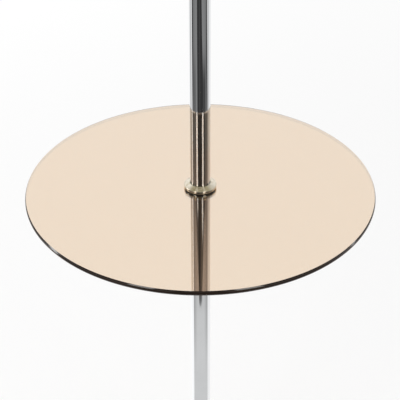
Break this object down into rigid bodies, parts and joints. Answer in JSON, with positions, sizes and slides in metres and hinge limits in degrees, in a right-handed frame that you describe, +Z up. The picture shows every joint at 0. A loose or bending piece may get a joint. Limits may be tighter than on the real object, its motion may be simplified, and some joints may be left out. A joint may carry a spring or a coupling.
{
  "type": "floor lamp with table",
  "caption": "Floor lamp on a chromed pole with a round bronze-tinted glass table clamped between bevelled collars, a weighted round base and a drum shade.",
  "frame": {"origin": "centre of the base's underside, on the floor", "axes": "+Z up along the pole, +Y to the back where the cord inlet is, +X to the side where the pull chain hangs"},
  "size_m": [0.4299, 0.43, 1.5],
  "materials": {
    "felt": "matt pressed felt",
    "zinc_steel": "zinc plated",
    "cast_iron": "as cast, painted black",
    "pole_chrome": "bright chrome plate",
    "collar_nickel": "turned, warm satin nickel",
    "black_plastic": "matt",
    "bakelite": "glossy phenolic",
    "white_plastic": "matt nylon",
    "porcelain": "glazed",
    "brass": "polished",
    "washer_rubber": "matt",
    "table_glass": "clear float, bronze tint",
    "cable_sheath": "matt",
    "white_wire": "white powder coat",
    "shade_fabric": "woven, cream, white liner",
    "trim_fabric": "woven tape, cream",
    "bulb_metal": "bright",
    "bulb_black": "glossy",
    "bulb_opal": "opal white"
  },
  "bodies": {
    "stand": {"felt_pad": "felt", "bottom_plate": "zinc_steel", "plate_screws": "zinc_steel", "base_weight": "cast_iron", "base_cover": "pole_chrome", "cord_gland": "black_plastic", "gland_nut": "black_plastic", "terminal_block": "white_plastic", "terminal_screws": "brass", "base_washer": "zinc_steel", "base_nut": "brass", "base_nipple": "brass", "base_collar": "collar_nickel", "lower_pole": "pole_chrome", "lower_pole_foot_bush": "zinc_steel", "lower_pole_head_bush": "zinc_steel", "lower_collar": "collar_nickel", "lower_washer": "washer_rubber", "table_glass": "table_glass", "glass_bush": "white_plastic", "upper_washer": "washer_rubber", "upper_collar": "collar_nickel", "table_nipple": "brass", "upper_pole": "pole_chrome", "upper_pole_foot_bush": "zinc_steel", "upper_pole_head_bush": "zinc_steel", "inner_cable": "cable_sheath", "head_collar": "collar_nickel", "head_nipple": "brass", "switch_housing": "pole_chrome", "housing_nut": "brass", "housing_lid": "pole_chrome", "lid_nipple": "brass", "lid_nut": "brass", "switch_module": "black_plastic", "chain_nozzle": "brass", "nozzle_nut": "brass", "holder_cup": "bakelite", "holder_insert": "porcelain", "centre_contact": "brass", "holder_shell": "brass", "holder_skirt": "bakelite", "lower_shade_ring": "bakelite", "upper_shade_ring": "bakelite", "shade_hub": "white_wire", "shade_arms": "white_wire", "shade_bottom_ring": "white_wire", "shade_top_ring": "white_wire", "shade_panel": "shade_fabric", "bottom_trim": "trim_fabric", "top_trim": "trim_fabric", "bulb_tip": "bulb_metal", "bulb_insulator": "bulb_black", "bulb_cap": "bulb_metal", "bulb_glass": "bulb_opal"},
    "pull": {"switch_plunger": "white_plastic", "pull_chain": "brass", "pull_bell": "brass"}
  },
  "joints": [
    {"name": "pull_slide", "type": "slide", "parent": "stand", "child": "pull", "axis": [0, 0, -1], "range_m": [0, 0.01], "stiffness_N_per_m": 300, "springref_m": -0.002}
  ]
}
